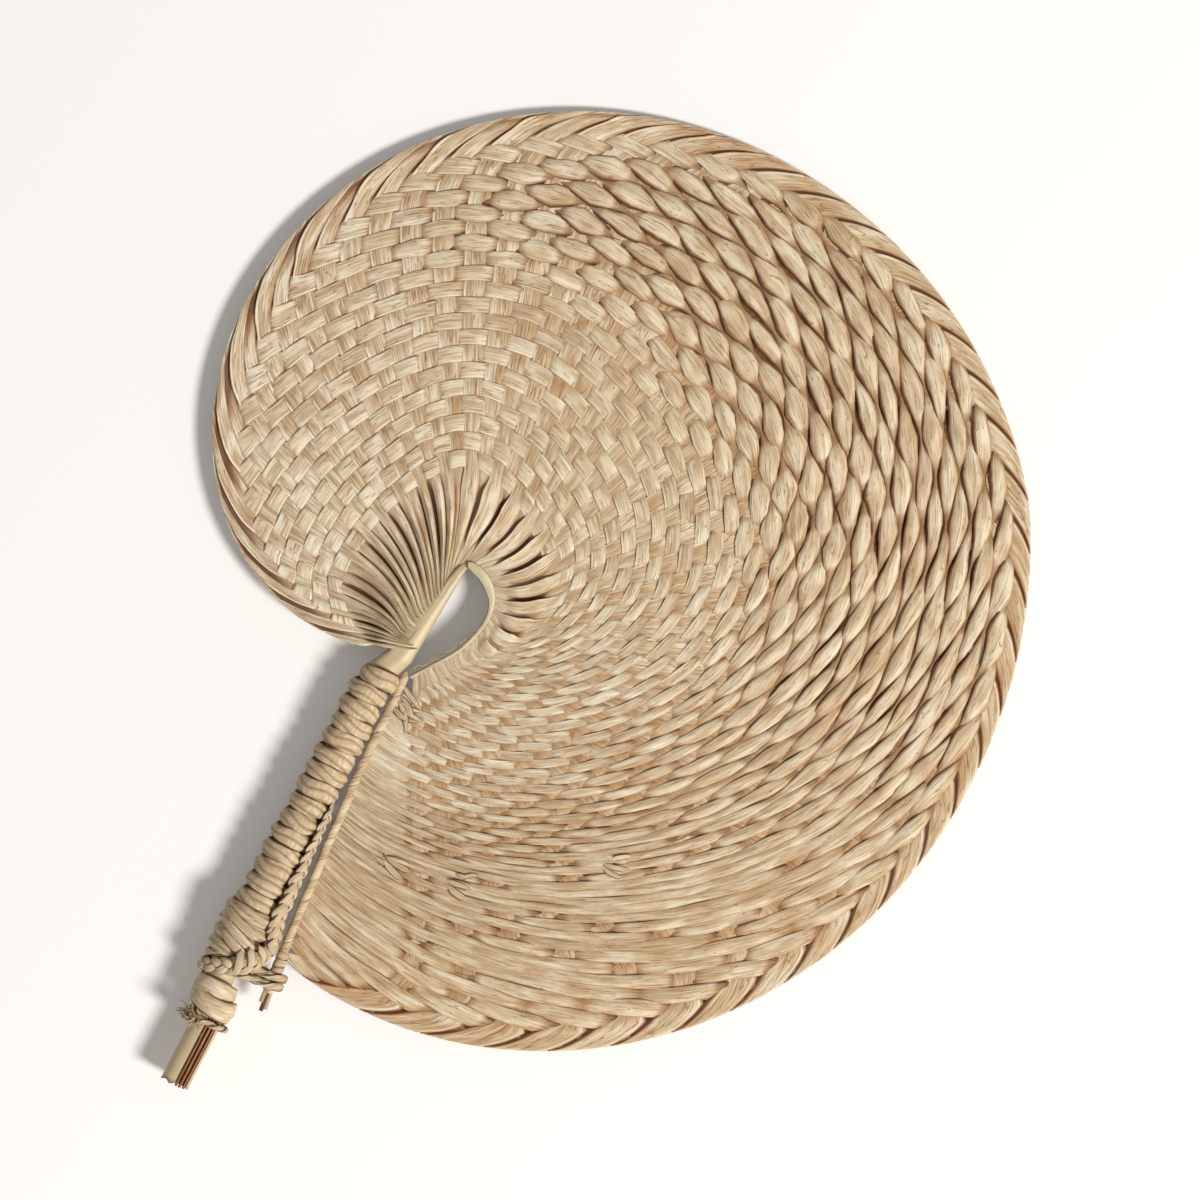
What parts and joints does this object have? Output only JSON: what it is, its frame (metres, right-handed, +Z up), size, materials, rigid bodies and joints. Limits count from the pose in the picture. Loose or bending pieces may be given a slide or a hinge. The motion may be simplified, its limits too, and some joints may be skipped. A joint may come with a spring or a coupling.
{
  "type": "palm-leaf hand fan",
  "caption": "Plaited palm-leaf hand fan: a spiral woven blade on one leaf stalk, with a bound grip, a stiffened free edge and a hanging hole at the hub.",
  "frame": {"origin": "bottom centre of the fan's box, as it lies flat on a table", "axes": "+Y from the handle's cut end to the far rim, +Z up out of the blade's front face, +X toward the wide side of the blade"},
  "size_m": [0.2982, 0.3768, 0.0214],
  "materials": {
    "leaf": "dry palm leaf, satin",
    "stalk": "smooth dry stalk, satin",
    "splint": "dry brown fibre, matte",
    "hem": "pale leaf edge, satin",
    "binding": "twisted palm leaf, satin",
    "rib": "leaf-wrapped stick, satin"
  },
  "bodies": {
    "root": {"leaf_strip_01": "leaf", "leaf_strip_02": "leaf", "leaf_strip_03": "leaf", "leaf_strip_04": "leaf", "leaf_strip_05": "leaf", "leaf_strip_06": "leaf", "leaf_strip_07": "leaf", "leaf_strip_08": "leaf", "leaf_strip_09": "leaf", "leaf_strip_10": "leaf", "leaf_strip_11": "leaf", "leaf_strip_12": "leaf", "leaf_strip_13": "leaf", "leaf_strip_14": "leaf", "leaf_strip_15": "leaf", "leaf_strip_16": "leaf", "leaf_strip_17": "leaf", "leaf_strip_18": "leaf", "leaf_strip_19": "leaf", "leaf_strip_20": "leaf", "leaf_strip_21": "leaf", "leaf_strip_22": "leaf", "leaf_strip_23": "leaf", "leaf_strip_24": "leaf", "leaf_strip_25": "leaf", "leaf_strip_26": "leaf", "leaf_strip_27": "leaf", "leaf_strip_28": "leaf", "leaf_strip_29": "leaf", "leaf_strip_30": "leaf", "leaf_strip_31": "leaf", "leaf_strip_32": "leaf", "leaf_strip_33": "leaf", "leaf_strip_34": "leaf", "leaf_strip_35": "leaf", "leaf_strip_36": "leaf", "leaf_strip_37": "leaf", "leaf_strip_38": "leaf", "leaf_strip_39": "leaf", "leaf_strip_40": "leaf", "leaf_strip_41": "leaf", "leaf_strip_42": "leaf", "leaf_strip_43": "leaf", "leaf_strip_44": "leaf", "leaf_stalk": "stalk", "stalk_splint_1": "splint", "stalk_splint_2": "splint", "stalk_splint_3": "splint", "hub_hem": "hem", "handle_wrap": "binding", "wrap_ridge": "binding", "butt_lashing": "binding", "rib_lashing": "binding", "butt_collar": "binding", "butt_knot": "binding", "edge_rib": "rib"}
  },
  "joints": []
}
